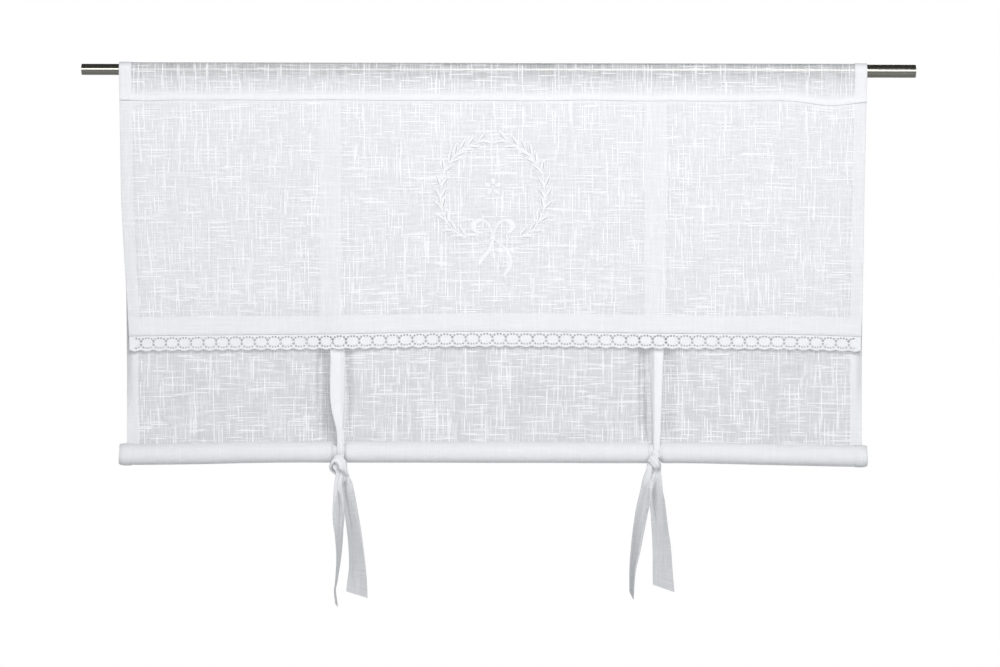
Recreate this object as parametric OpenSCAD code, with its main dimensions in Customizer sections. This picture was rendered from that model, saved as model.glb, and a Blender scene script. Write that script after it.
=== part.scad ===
// Roman blind of sheer cloth on a telescopic steel rod.
// A long back panel hangs from a pocket on the rod and is rolled up from below.
// Two pairs of tie bands hold the roll, and a short valance with a lace edge hangs in front.
// Millimetres. X runs along the rod, the front faces -Y and Z is up.
// The origin is on the rod's axis, at the middle of the cloth's width.

/* [Rod] */
// Outside diameter of the outer tube
rod_d = 19; // [14:0.5:32]
// Wall of both tubes
tube_wall = 0.8; // [0.6:0.1:1.4]
// Clearance between the two tubes, on the radius
tube_gap = 0.7; // [0.6:0.05:0.95]
// Length of each tube
tube_length = 700; // [660:10:1000]
// Bare rod on the left of the cloth
bare_left = 54; // [20:1:100]
// Bare rod on the right of the cloth
bare_right = 70; // [20:1:100]

/* [Cloth] */
// Width of the cloth
cloth_w = 1076; // [800:2:1160]
// Thickness of the cloth
cloth_t = 0.5; // [0.3:0.05:0.7]
// Width of the turned hems at the sides
side_hem = 18; // [8:1:30]
// Clearance between the rod and its pocket, on the radius
pocket_gap = 0.7; // [0.6:0.05:0.95]
// Clearance between layers of cloth
layer_gap = 0.1; // [0.05:0.05:0.3]
// Rod axis down to the seam that closes the pocket
seam_drop = 38; // [30:1:60]
// Height of the layers sewn together at the seam
seam_lap = 6; // [3:0.5:10]

/* [Valance] */
// Rod axis down to the valance's lower edge
valance_drop = 381; // [320:1:440]
// Height of the valance's turned bottom hem
valance_hem = 23; // [12:1:40]

/* [Lace] */
// Height of the lace below the valance's edge
lace_h = 22; // [16:0.5:30]
// Height of the lace sewn behind the valance's edge
lace_lap = 5; // [3:0.5:10]
// Thickness of the lace
lace_t = 0.5; // [0.3:0.05:0.7]
// Length of one lace motif, about
lace_pitch = 19.2; // [18.5:0.1:30]
// Depth of the scallops along the lower edge
scallop_depth = 2.4; // [1:0.1:4]
// Diameter of the open eyelets between motifs
eyelet_d = 3.2; // [1.5:0.1:4]

/* [Roll] */
// Rod axis down to the axis of the roll
roll_drop = 549; // [500:1:900]
// Outside diameter of the roll
roll_d = 32.4; // [24:0.2:44]
// Distance from turn to turn
turn_pitch = 1.25; // [1:0.05:2.5]
// Diameter of the bar in the roll's core
bar_d = 10; // [6:0.5:12]
// Clearance between the bar and the innermost turn
bar_gap = 0.3; // [0.2:0.05:0.8]
// How far the bar stops short of the cloth's side edge
bar_inset = 6; // [2:1:30]

/* [Ties] */
// Width of a tie band where it lies flat
tie_w = 31; // [22:1:36]
// Thickness of a tie band
tie_t = 0.8; // [0.5:0.1:1.2]
// Middle of the cloth to each pair of ties, at the seam
tie_spread = 234; // [150:1:300]
// How far the left knot lies to the right of its seam place
left_drift = 15; // [-20:1:20]
// How far the right knot lies to the right of its seam place
right_drift = 0; // [-20:1:20]
// Clearance between a tie band and the roll
tie_gap = 0.4; // [0.3:0.05:0.9]
// Half the depth of a knot
knot_r = 9.3; // [9:0.1:11]
// Length of the tails below the knot
tail_length = 200; // [120:1:300]

/* [Embroidery] */
// Rod axis down to the middle of the wreath
wreath_drop = 168; // [150:1:180]
// Half the width of the wreath between its stems
wreath_r = 75; // [60:1:80]
// Length of one leaf
leaf_l = 21.5; // [12:0.5:24]
// Width of one leaf
leaf_w = 5.6; // [3:0.1:8]
// Leaf pairs on each branch
leaf_pairs = 10; // [6:1:14]
// Width of the bow's ribbon
ribbon_w = 4.6; // [2:0.1:6]
// Height of the stitches above the cloth
thread_h = 0.5; // [0.2:0.1:1]

/* [Hidden] */

$fn = 96;

steel_colour = [0.55, 0.55, 0.53];
cloth_colour = [0.88, 0.89, 0.91];
lace_colour = [0.95, 0.95, 0.96];
thread_colour = [0.98, 0.98, 0.98];
tie_colour = [0.80, 0.82, 0.84];
bar_colour = [0.80, 0.68, 0.50];

// Rod
rod_r = rod_d / 2;
outer_bore_r = rod_r - tube_wall;
inner_r = outer_bore_r - tube_gap;
rod_left = -cloth_w / 2 - bare_left;
rod_right = cloth_w / 2 + bare_right;

// Layers of cloth, as distances along Y from the middle of the back panel
front_tie_y = -(cloth_t / 2 + layer_gap + tie_t / 2);
behind_edge_t = max(cloth_t, lace_t);
behind_edge_y = front_tie_y - tie_t / 2 - layer_gap;
valance_back_y = behind_edge_y - behind_edge_t;
valance_front_y = valance_back_y - cloth_t;
flap_y = valance_front_y - layer_gap - cloth_t / 2;
rear_tie_y = -front_tie_y;
seam_end = -(seam_drop + seam_lap);
tie_top = -(seam_drop + layer_gap + cloth_t);

// Pocket and roll, at the middle of the cloth's thickness
pocket_r = rod_r + pocket_gap + cloth_t / 2;
roll_r = roll_d / 2;
outer_turn_r = roll_r - cloth_t / 2;
inner_turn_r = bar_d / 2 + bar_gap + cloth_t / 2;
roll_y = -outer_turn_r;
turns = (outer_turn_r - inner_turn_r) / turn_pitch;
pocket_step = 6;
turn_step = 12;

// Lace
motifs = floor(cloth_w / lace_pitch);
motif_l = cloth_w / motifs;
lace_top = -(valance_drop - lace_lap);
lace_bottom = -(valance_drop + lace_h);
eyelet_rise = [0.42, 0.66];
scallop_steps = 6;

// Ties
left_knot_x = -tie_spread + left_drift;
right_knot_x = tie_spread + right_drift;
knot_angle = -45;
band_section = [[-0.5, -0.2], [-0.5, 0.2], [-0.42, 0.5], [0.42, 0.5],
                [0.5, 0.2], [0.5, -0.2], [0.42, -0.5], [-0.42, -0.5]];
smooth_steps = 4;

// Embroidery: the branch's points are shares of wreath_r, the bow's are measured from its knot
branch_points = [[0.52, -0.96], [0.80, -0.79], [0.97, -0.44], [1.00, -0.15], [0.95, 0.24],
                 [0.80, 0.49], [0.65, 0.67], [0.43, 0.80], [0.08, 0.95]];
bow_drop = wreath_drop + wreath_r - 2;
bow_loop = [[-0.5, 0.8], [-4, 12.5], [-9, 21], [-18, 25], [-26, 21.5], [-28, 14.5], [-23, 8],
            [-14, 5], [-0.8, 0.2]];
bow_small_loop = [[-23.5, 8.5], [-24, 0], [-20, -5.5], [-12, -6.5], [-0.8, -0.6]];
bow_left_tail = [[-0.3, -0.8], [-4.6, -17], [-11.5, -26], [-17, -33], [-19.5, -41]];
bow_right_tail = [[0.6, -0.6], [11, -10], [20.5, -19.5], [25.3, -31], [24, -42], [17.5, -53.5],
                  [20.6, -63]];
bow_knot_d = 8;
stem_w = 1.4;
last_leaves = 4;
leaf_spread = 29;
petals = 5;
petal_l = 13;
petal_w = 6;
flower_eye_d = 5;

// Vectors and curves
function unit(v) = v / norm(v);
function square_to(v, along) = unit(v - (v * along) * along);
function mix(a, b, u) = a + (b - a) * u;
function reversed(list) = [for (i = [len(list) - 1 : -1 : 0]) list[i]];

function curve_point(a, b, c, d, u) =
    0.5 * (2 * b + (c - a) * u + (2 * a - 5 * b + 4 * c - d) * u * u
           + (3 * b - a - 3 * c + d) * u * u * u);

// Smooth curve through every row of a list, with smooth_steps rows from one to the next
function smooth_rows(rows) =
    let (last = len(rows) - 1)
    concat([for (i = [0 : last - 1], k = [0 : smooth_steps - 1])
                curve_point(rows[max(i - 1, 0)], rows[i], rows[i + 1],
                            rows[min(i + 2, last)], k / smooth_steps)],
           [rows[last]]);

// Normal of a flat path at point i, lengthened at a corner so that a strip keeps its width
function path_normal(path, i) =
    let (last = len(path) - 1,
         before = unit(path[max(i, 1)] - path[max(i, 1) - 1]),
         after = unit(path[min(i, last - 1) + 1] - path[min(i, last - 1)]),
         middle = unit(before + after))
    [-middle[1], middle[0]] / (middle * before);

function beside(path, distance) =
    [for (i = [0 : len(path) - 1]) path[i] + distance * path_normal(path, i)];

// Flat strip of even width along a path
module strip(path, width) {
    polygon(concat(beside(path, width / 2), reversed(beside(path, -width / 2))));
}

// Runs a section drawn in Y and Z along the whole width of X
module along_x(length) {
    rotate([90, 0, 90])
        linear_extrude(length, center = true)
            children();
}

// Box between two corners
module block(low, high) {
    translate(low)
        cube(high - low);
}

// Section of the back panel, front flap first, then over the rod, down and into the roll

// Where a line from a point touches the pocket's circle, on the front (-1) or the rear (1)
function touch(point, way) =
    let (square = point * point,
         near = pocket_r * pocket_r / square,
         across = pocket_r * sqrt(square - pocket_r * pocket_r) / square)
    near * point + way * across * [-point[1], point[0]];

flap_fold = [flap_y, -seam_drop];
panel_fold = [0, -seam_drop];
front_touch = touch(flap_fold, -1);
rear_touch = touch(panel_fold, 1);
front_angle = 360 + atan2(front_touch[1], front_touch[0]);
rear_angle = atan2(rear_touch[1], rear_touch[0]);
pocket_steps = ceil((front_angle - rear_angle) / pocket_step);
pocket_path = [for (i = [0 : pocket_steps])
    let (angle = mix(front_angle, rear_angle, i / pocket_steps))
    pocket_r * [cos(angle), sin(angle)]];

roll_steps = ceil(turns * 360 / turn_step);
roll_path = [for (i = [0 : roll_steps])
    let (u = i / roll_steps, angle = 360 * turns * u, r = mix(outer_turn_r, inner_turn_r, u))
    [roll_y + r * cos(angle), -roll_drop - r * sin(angle)]];

panel_path = concat([[flap_y, seam_end], flap_fold], pocket_path, [panel_fold], roll_path);

// Tie bands: each row is a place, the direction of the band's width, width, thickness and slant

function row(place, across, width, thickness, slant = 0) =
    concat(place, across, [width, thickness, slant]);

// Place around the roll: 0 is its front, 90 its top, 180 its rear and 270 its bottom
function round_roll(x, angle, r) = [x, roll_y - r * cos(angle), -roll_drop + r * sin(angle)];
function on_roll(x, angle, width, thickness) =
    row(round_roll(x, angle, roll_r + tie_gap + thickness / 2), [1, 0, 0], width, thickness);
function knot_place(x) = round_roll(x, knot_angle, roll_r + knot_r);

// Hanging tail from one place to another, which turns about itself and swings a little
function tail_rows(from, to, twist, swing, slant) =
    let (steps = 5)
    [for (i = [1 : steps])
        let (u = i / steps, turned = twist * u, sway = swing * sin(360 * u))
        row(mix(from, to, u) + [sway, 0, 0], [cos(turned), sin(turned), 0],
            mix(tie_w / 2, tie_w, min(1, 1.5 * u)), mix(1.6, tie_t, min(1, 2 * u)),
            i == steps ? slant : 0)];

// Front band: behind the valance, over the front of the roll, through the knot's wrap
function front_tie_rows(seam_x, knot_x, tip, twist, swing) =
    let (knot = knot_place(knot_x),
         lace_x = mix(seam_x, knot_x, 0.6),
         below_lace = [lace_x, front_tie_y, lace_bottom],
         lean = on_roll(knot_x, 40, tie_w * 0.45, 1.6),
         lean_place = [lean[0], lean[1], lean[2]],
         tail_start = knot + [-2, -0.5, -14])
    concat([row([seam_x, front_tie_y, tie_top], [1, 0, 0], tie_w, tie_t),
            row(mix([seam_x, front_tie_y, tie_top], below_lace, 0.5), [1, 0, 0], tie_w, tie_t)],
           smooth_rows(concat(
               [row(below_lace, [1, 0, 0], tie_w * 0.8, tie_t),
                row(mix(below_lace, lean_place, 0.35), [1, 0, 0], tie_w * 0.7, tie_t),
                row(mix(below_lace, lean_place, 0.75), [1, 0, 0], tie_w * 0.55, 1.2),
                lean,
                on_roll(knot_x, 20, 13, 2),
                on_roll(knot_x, 0, 12, 2.6),
                row(round_roll(knot_x, -22, roll_r + tie_gap + 2.6), [1, 0, 0], 12, 4),
                row(knot, [1, 0, 0], 15, 7.5),
                row(tail_start, [1, 0, 0], 11, 3.5)],
               tail_rows(tail_start, knot + tip, twist, swing, -0.3))));

// Rear band: behind the panel, under the roll, once round the front band, then down
function rear_tie_rows(seam_x, knot_x, tip, twist, swing) =
    let (knot = knot_place(knot_x),
         top = [seam_x, rear_tie_y, tie_top],
         above_roll = [knot_x, rear_tie_y, -roll_drop + roll_r + 40],
         tail_start = knot + [10, 4.5, -13])
    concat([row(top, [1, 0, 0], tie_w, tie_t),
            row(mix(top, above_roll, 0.5), [1, 0, 0], tie_w, tie_t)],
           smooth_rows(concat(
               [row(above_roll, [1, 0, 0], tie_w * 0.8, tie_t),
                row(mix(above_roll, [knot_x, rear_tie_y, -roll_drop], 0.6), [1, 0, 0],
                    tie_w * 0.65, tie_t),
                on_roll(knot_x, 185, tie_w * 0.5, 1.2),
                on_roll(knot_x, 215, 13, 1.8),
                on_roll(knot_x, 245, 12, 2.2),
                on_roll(knot_x, 265, 11, 2.4),
                row(knot + [-4.5, 10, -5], [1, 0, 0.3], 10, 2.6),
                row(knot + [-11, 5.5, -4.5], [0.4, 0, 1], 10, 2.8),
                row(knot + [-11.5, -1, -3], [0, 0, 1], 10, 3),
                row(knot + [-8, -6, -1.5], [0, 0, 1], 10.5, 3),
                row(knot + [0, -7.4, 1.5], [-0.25, 0, 1], 11, 3),
                row(knot + [8, -6, 4], [-0.2, 0, 1], 10.5, 3),
                row(knot + [11.5, -1, 3.5], [0, 0.2, 1], 9, 3),
                row(knot + [11.5, 4, -3], [0, 1, 0.4], 8.5, 3),
                row(tail_start, [0.6, 0.8, 0], 9, 2.8)],
               tail_rows(tail_start, knot + tip, twist, swing, 0.35))));

// Closed band through rows
module band(rows) {
    count = len(rows);
    sides = len(band_section);
    places = [for (r = rows) [r[0], r[1], r[2]]];
    along = [for (i = [0 : count - 1])
        unit(places[min(i + 1, count - 1)] - places[max(i - 1, 0)])];
    points = [for (i = [0 : count - 1])
        let (r = rows[i],
             across = square_to([r[3], r[4], r[5]], along[i]),
             out = cross(along[i], across))
        for (s = band_section)
            places[i] + s[0] * r[6] * (across + r[8] * along[i]) + s[1] * r[7] * out];
    walls = [for (i = [0 : count - 2], j = [0 : sides - 1])
        let (a = i * sides + j,
             b = i * sides + (j + 1) % sides)
        for (face = [[a, b, b + sides], [a, b + sides, a + sides]])
            face];
    first = [for (j = [sides - 1 : -1 : 0]) j];
    last = [for (j = [0 : sides - 1]) (count - 1) * sides + j];
    polyhedron(points, concat([first, last], walls), convexity = 8);
}

// Leaf from the origin along X, between two arcs
module leaf(length, width) {
    arc_r = (length * length + width * width) / (4 * width);
    intersection() {
        translate([length / 2, arc_r - width / 2])
            circle(arc_r);
        translate([length / 2, width / 2 - arc_r])
            circle(arc_r);
    }
}

// Right half of the wreath's stem with its leaves, about the wreath's middle
module branch() {
    path = smooth_rows(wreath_r * branch_points);
    strip(path, stem_w);
    for (i = [0 : leaf_pairs - 1]) {
        spot = round(i / (leaf_pairs - 1) * (len(path) - 1 - last_leaves));
        heading = path[spot + 1] - path[max(spot - 1, 0)];
        translate(path[spot])
            for (way = [-1, 1])
                rotate(atan2(heading[1], heading[0]) + way * leaf_spread)
                    leaf(leaf_l, leaf_w);
    }
}

// Loop of ribbon in two strips, as its ends lie over each other
module ribbon_loop(path, width) {
    middle = floor(len(path) / 2);
    strip([for (i = [0 : middle + 1]) path[i]], width);
    strip([for (i = [middle : len(path) - 1]) path[i]], width);
}

module bow() {
    circle(d = bow_knot_d);
    for (way = [0, 1])
        mirror([way, 0]) {
            ribbon_loop(smooth_rows(bow_loop), ribbon_w);
            strip(smooth_rows(bow_small_loop), ribbon_w / 2);
        }
    strip(smooth_rows(bow_left_tail), ribbon_w);
    strip(smooth_rows(bow_right_tail), ribbon_w);
}

module flower() {
    circle(d = flower_eye_d);
    for (i = [0 : petals - 1])
        rotate(90 + 360 / petals * i)
            leaf(petal_l, petal_w);
}

// Sub-parts

module rod_outer_tube() {
    color(steel_colour)
        translate([rod_right, 0, 0])
            rotate([0, -90, 0])
                difference() {
                    cylinder(h = tube_length, r = rod_r);
                    translate([0, 0, -1])
                        cylinder(h = tube_length + 2, r = outer_bore_r);
                }
}

module rod_inner_tube() {
    color(steel_colour)
        translate([rod_left, 0, 0])
            rotate([0, 90, 0])
                difference() {
                    cylinder(h = tube_length, r = inner_r);
                    translate([0, 0, -1])
                        cylinder(h = tube_length + 2, r = inner_r - tube_wall);
                }
}

module back_panel() {
    color(cloth_colour) {
        along_x(cloth_w)
            strip(panel_path, cloth_t);
        for (way = [0, 1])
            mirror([way, 0, 0])
                block([cloth_w / 2 - side_hem, 0, -roll_drop],
                      [cloth_w / 2, cloth_t * 1.5, seam_end]);
    }
}

module front_valance() {
    half = cloth_w / 2;
    color(cloth_colour) {
        block([-half, valance_front_y, -valance_drop], [half, valance_back_y, -seam_drop]);
        block([-half, valance_front_y, lace_top],
              [half, valance_back_y + cloth_t, -valance_drop + valance_hem]);
        for (way = [0, 1])
            mirror([way, 0, 0])
                block([half - side_hem, valance_front_y, lace_top],
                      [half, valance_back_y + cloth_t, -seam_drop]);
    }
}

module lace_trim() {
    edge = [for (i = [0 : motifs * scallop_steps])
        [-cloth_w / 2 + motif_l * i / scallop_steps,
         lace_bottom + scallop_depth * (1 - abs(sin(180 * i / scallop_steps)))]];
    outline = concat(edge, [[cloth_w / 2, lace_top], [-cloth_w / 2, lace_top]]);
    color(lace_colour)
        translate([0, valance_back_y + lace_t, 0])
            rotate([90, 0, 0])
                linear_extrude(lace_t)
                    difference() {
                        polygon(outline);
                        for (i = [1 : motifs - 1], rise = eyelet_rise)
                            translate([-cloth_w / 2 + motif_l * i, mix(lace_bottom, -valance_drop, rise)])
                                circle(d = eyelet_d, $fn = 24);
                    }
}

module wreath_embroidery() {
    color(thread_colour)
        translate([0, valance_front_y, 0])
            rotate([90, 0, 0])
                linear_extrude(thread_h) {
                    translate([0, -wreath_drop]) {
                        for (way = [0, 1])
                            mirror([way, 0])
                                branch();
                        flower();
                    }
                    translate([0, -bow_drop])
                        bow();
                }
}

module left_front_tie() {
    color(tie_colour)
        band(front_tie_rows(-tie_spread, left_knot_x, [-4, -4, -tail_length - 7], -75, -2));
}

module left_rear_tie() {
    color(tie_colour)
        band(rear_tie_rows(-tie_spread, left_knot_x, [25, 5, -tail_length + 9], 15, 2));
}

module right_front_tie() {
    color(tie_colour)
        band(front_tie_rows(tie_spread, right_knot_x, [-32, -4, -tail_length + 4], -45, 3));
}

module right_rear_tie() {
    color(tie_colour)
        band(rear_tie_rows(tie_spread, right_knot_x, [15, 5, -tail_length + 19], 10, 2));
}

module bottom_bar() {
    color(bar_colour)
        translate([0, roll_y, -roll_drop])
            rotate([0, 90, 0])
                cylinder(h = cloth_w - 2 * bar_inset, d = bar_d, center = true);
}

rod_outer_tube();
rod_inner_tube();
back_panel();
front_valance();
lace_trim();
wreath_embroidery();
left_front_tie();
left_rear_tie();
right_front_tie();
right_rear_tie();
bottom_bar();
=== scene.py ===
# %% [markdown]
# # A sheer roman blind on a telescopic rod
# The blind is one long sheer cloth that hangs from a rod. Its lower end is rolled up round a bar
# and held by two pairs of tie bands, and a short valance with a lace edge hangs in front of it.
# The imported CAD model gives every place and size. Blender adds what a solid can't show: cloth that
# lets the layers behind it shine through, folds, knots, lace, stitches and polished steel.

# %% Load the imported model
import math
import bmesh
import bpy
from mathutils import Matrix, Vector, noise


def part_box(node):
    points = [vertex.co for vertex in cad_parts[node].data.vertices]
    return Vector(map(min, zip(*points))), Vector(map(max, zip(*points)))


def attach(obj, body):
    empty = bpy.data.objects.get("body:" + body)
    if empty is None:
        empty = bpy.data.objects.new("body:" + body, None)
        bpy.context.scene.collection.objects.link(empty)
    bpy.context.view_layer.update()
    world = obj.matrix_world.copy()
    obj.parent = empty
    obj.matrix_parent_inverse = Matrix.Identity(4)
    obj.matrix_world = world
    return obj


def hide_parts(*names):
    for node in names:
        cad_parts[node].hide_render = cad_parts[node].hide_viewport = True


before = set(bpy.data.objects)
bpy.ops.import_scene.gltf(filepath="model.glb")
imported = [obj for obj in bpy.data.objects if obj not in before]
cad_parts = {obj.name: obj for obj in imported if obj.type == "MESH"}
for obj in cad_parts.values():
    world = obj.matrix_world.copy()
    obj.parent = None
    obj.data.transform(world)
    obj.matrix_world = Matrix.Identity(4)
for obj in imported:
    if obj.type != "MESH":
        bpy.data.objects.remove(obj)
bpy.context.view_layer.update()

# %% [markdown]
# ## Helpers for finishes
# Every finish below is a tree of shader nodes. A few short helpers keep the trees readable: each adds a
# node of one kind and returns its output. A value that is the same all over a surface is set on the
# shader's own socket, and only what varies is linked to it.


# %% Node helpers
def add_node(tree, kind, inputs=None, **settings):
    """A node with its settings; an input is linked where an output is given, or else gets the value."""
    node = tree.nodes.new("ShaderNode" + kind)
    for key, value in settings.items():
        setattr(node, key, value)
    for key, value in (inputs or {}).items():
        if isinstance(value, bpy.types.NodeSocket):
            tree.links.new(value, node.inputs[key])
        else:
            node.inputs[key].default_value = value
    return node


def add_math(tree, operation, first, second, **settings):
    return add_node(tree, "Math", {0: first, 1: second}, operation=operation, **settings).outputs[0]


def add_noise(tree, vector, scale, detail):
    return add_node(tree, "TexNoise", {"Vector": vector, "Scale": scale, "Detail": detail}).outputs["Fac"]


def add_range(tree, value, start, end, low=0.0, high=1.0):
    """The value between start and end, spread from low to high."""
    return add_node(tree, "MapRange", {"Value": value, "From Min": start, "From Max": end,
                                       "To Min": low, "To Max": high}).outputs[0]


def add_ramp(tree, factor, first, last):
    """A colour that goes from the first tint to the last as the factor goes from 0 to 1."""
    ramp = add_node(tree, "ValToRGB", {"Fac": factor})
    for element, tint in zip(ramp.color_ramp.elements, (first, last)):
        element.color = (*tint, 1.0)
    return ramp.outputs[0]


def add_bump(tree, height, strength, distance, **settings):
    return add_node(tree, "Bump", {"Strength": strength, "Distance": distance, "Height": height},
                    **settings).outputs[0]


print("helpers for nodes")


# %% Material helpers
def new_finish(name, **constants):
    """A material with one Principled shader, whose constants sit on the shader's own sockets."""
    material = bpy.data.materials.new(name)
    material.use_nodes = True
    shader = material.node_tree.nodes["Principled BSDF"]
    for socket, value in constants.items():
        shader.inputs[socket.replace("_", " ")].default_value = value
    return material, material.node_tree, shader


def connect(tree, shader, **outputs):
    """Links outputs to the shader's sockets, named with _ for a space."""
    for socket, output in outputs.items():
        tree.links.new(output, shader.inputs[socket.replace("_", " ")])


def give_finish(material, *nodes):
    """Puts a finish on CAD nodes."""
    for node in nodes:
        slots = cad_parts[node].data.materials
        slots.clear()
        slots.append(material)


print("helpers for materials, and", len(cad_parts), "CAD nodes")

# %% [markdown]
# ## Camera
# The photograph was taken from straight ahead and from far away, so the two ends of the rod look
# alike. A long lens four metres away does the same. At that distance a 100 mm lens on a 36 mm film
# sees 1.44 m, which makes one pixel of the 1000 pixel wide picture 1.44 mm. The picture is also a
# little off level: its right side hangs about a pixel low.

# %% Camera
VIEW_DISTANCE = 4.0
VIEW_ROLL = -0.13
VIEW_CENTRE = Vector((0.0108, 0.0, -0.379))
lens = bpy.data.cameras.new("photo_lens")
lens.lens = 100.0
lens.sensor_width = 36.0
camera = bpy.data.objects.new("photo_camera", lens)
camera.location = VIEW_CENTRE - Vector((0.0, VIEW_DISTANCE, 0.0))
camera.rotation_euler = (math.radians(90.0), math.radians(VIEW_ROLL), 0.0)
bpy.context.collection.objects.link(camera)
bpy.context.scene.camera = camera
bpy.context.scene.view_settings.view_transform = "Standard"
print("camera at", [round(v, 3) for v in camera.location])

# %% [markdown]
# ## Light and room
# White cloth shows its folds only in soft light that comes from one side more than from the other.
# A softbox in front and above gives the light, a wide one beside it gives the rod its bright line, and
# the room adds a grey that is darker from above. The camera sees a white backdrop past the blind.
# Through the cloth it sees the room's grey, as a sheer cloth in front of a dim room does, so a double
# layer looks whiter than a single one.

# %% World
ROOM_GREY = (0.35, 0.36, 0.375, 1.0)
BACKDROP_WHITE = (1.0, 1.0, 1.0, 1.0)
world = bpy.data.worlds.new("studio_room")
world.use_nodes = True
bpy.context.scene.world = world
room = world.node_tree
room.nodes.clear()
way_out = add_node(room, "TexCoord").outputs["Generated"]
upwards = add_node(room, "SeparateXYZ", {0: way_out}).outputs["Z"]
dimmer_above = add_range(room, upwards, 0.0, 0.7, 1.0, 0.4)
room_light = add_node(room, "Background", {"Color": ROOM_GREY, "Strength": dimmer_above})
backdrop = add_node(room, "Background", {"Color": BACKDROP_WHITE})
path = add_node(room, "LightPath").outputs
in_the_open = add_math(room, "LESS_THAN", path["Transparent Depth"], 0.5)
seen_openly = add_math(room, "MULTIPLY", path["Is Camera Ray"], in_the_open)
or_mirrored = add_math(room, "MAXIMUM", seen_openly, path["Is Glossy Ray"])
or_through_glass = add_math(room, "MAXIMUM", or_mirrored, path["Is Transmission Ray"])
room_mix = add_node(room, "MixShader", {0: or_through_glass, 1: room_light.outputs[0], 2: backdrop.outputs[0]})
add_node(room, "OutputWorld", {"Surface": room_mix.outputs[0]})
print("room grey", ROOM_GREY[:3])


# %% Softboxes
def softbox(name, place, aim, width, height, watts):
    lamp = bpy.data.lights.new(name, "AREA")
    lamp.shape = "RECTANGLE"
    lamp.size = width
    lamp.size_y = height
    lamp.energy = watts
    holder = bpy.data.objects.new(name, lamp)
    holder.location = place
    holder.rotation_euler = (Vector(aim) - Vector(place)).to_track_quat("-Z", "Y").to_euler()
    bpy.context.collection.objects.link(holder)


softbox("front_softbox", (0.32, -2.2, 0.95), (0.02, 0.0, -0.32), 1.0, 0.8, 31.0)
softbox("wide_softbox", (0.0, -2.4, 0.25), (0.0, 0.0, 0.0), 2.8, 0.8, 22.4)
softbox("rear_softbox", (0.2, 2.4, 0.9), (0.0, 0.0, -0.35), 1.8, 1.2, 28.0)
print("three softboxes")


# %% [markdown]
# ## Floor and grey cards
# The blind hangs in the air, so the floor lies well below it and ends before it would come into the
# camera's view. Other views see it, so it is paler to the camera than its light alone would make it,
# and the rod doesn't mirror it. Three cards are seen only by mirror-like surfaces. The rod mirrors one
# above the wide softbox and two below it, which gives it the dark upper stripe, the thin white line
# and the dull lower stripe of the photograph.

# %% Floor and cards
def mesh_object(name, mesh_data, material):
    mesh = bpy.data.meshes.new(name)
    mesh_data.to_mesh(mesh)
    mesh_data.free()
    piece = bpy.data.objects.new(name, mesh)
    piece.data.materials.append(material)
    bpy.context.collection.objects.link(piece)
    return piece


FLOOR_HEIGHT = -1.2
floor_shape = bmesh.new()
bmesh.ops.create_circle(floor_shape, cap_ends=True, segments=96, radius=2.6)
bmesh.ops.translate(floor_shape, verts=floor_shape.verts, vec=(0.0, 0.0, FLOOR_HEIGHT))
floor_paint, tree, shader = new_finish("floor_paint", Base_Color=(0.80, 0.80, 0.80, 1.0), Roughness=0.7,
                                       Emission_Color=(0.40, 0.40, 0.40, 1.0))
connect(tree, shader, Emission_Strength=add_node(tree, "LightPath").outputs["Is Camera Ray"])
floor = mesh_object("floor", floor_shape, floor_paint)
floor.visible_glossy = False


def mirror_card(name, size, tilt, place, grey):
    """A square card that only mirror-like surfaces see."""
    shape = bmesh.new()
    bmesh.ops.create_grid(shape, x_segments=1, y_segments=1, size=size)
    bmesh.ops.rotate(shape, verts=shape.verts, matrix=Matrix.Rotation(math.radians(tilt), 3, "X"))
    bmesh.ops.translate(shape, verts=shape.verts, vec=place)
    paint = new_finish(name + "_paint", Base_Color=(grey, grey, grey, 1.0), Roughness=0.9)[0]
    card = mesh_object(name, shape, paint)
    card.visible_camera = False
    card.visible_diffuse = False
    card.visible_shadow = False
    card.visible_transmission = False
    return card


CARD_SIZE = 3.0
upper_card = mirror_card("upper_card", CARD_SIZE, 0.0, (0.0, 0.4, 0.78), 0.12)
lower_card = mirror_card("lower_card", CARD_SIZE, 90.0, (0.0, -2.5, -3.2), 0.75)
floor_card = mirror_card("floor_card", CARD_SIZE, 0.0, (0.0, 0.0, FLOOR_HEIGHT + 0.002), 0.5)
print("floor at", FLOOR_HEIGHT, "m")

# %% [markdown]
# ## Steel
# The rod is two drawn and polished steel tubes. Drawing leaves hair-fine lines along the tube, so
# the roughness and the bump come from a noise that is stretched a hundredfold along the rod.
# The tubes themselves are the CAD solids, because a turned tube needs nothing more.

# %% Drawn steel
steel, tree, shader = new_finish("drawn_steel", Metallic=1.0)
steel_place = add_node(tree, "TexCoord").outputs["Object"]
drawn = add_node(tree, "Mapping", {"Vector": steel_place, "Scale": (6.0, 900.0, 900.0)}).outputs[0]
drawing_lines = add_noise(tree, drawn, 1.0, 3.0)
clouds = add_noise(tree, steel_place, 35.0, 3.0)
connect(tree, shader, Base_Color=add_ramp(tree, clouds, (0.38, 0.373, 0.325), (0.46, 0.452, 0.400)),
        Roughness=add_range(tree, drawing_lines, 0.0, 1.0, 0.08, 0.18),
        Normal=add_bump(tree, drawing_lines, 0.05, 0.0002))
give_finish(steel, "rod_outer_tube", "rod_inner_tube")
print("steel on both tubes")
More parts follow.
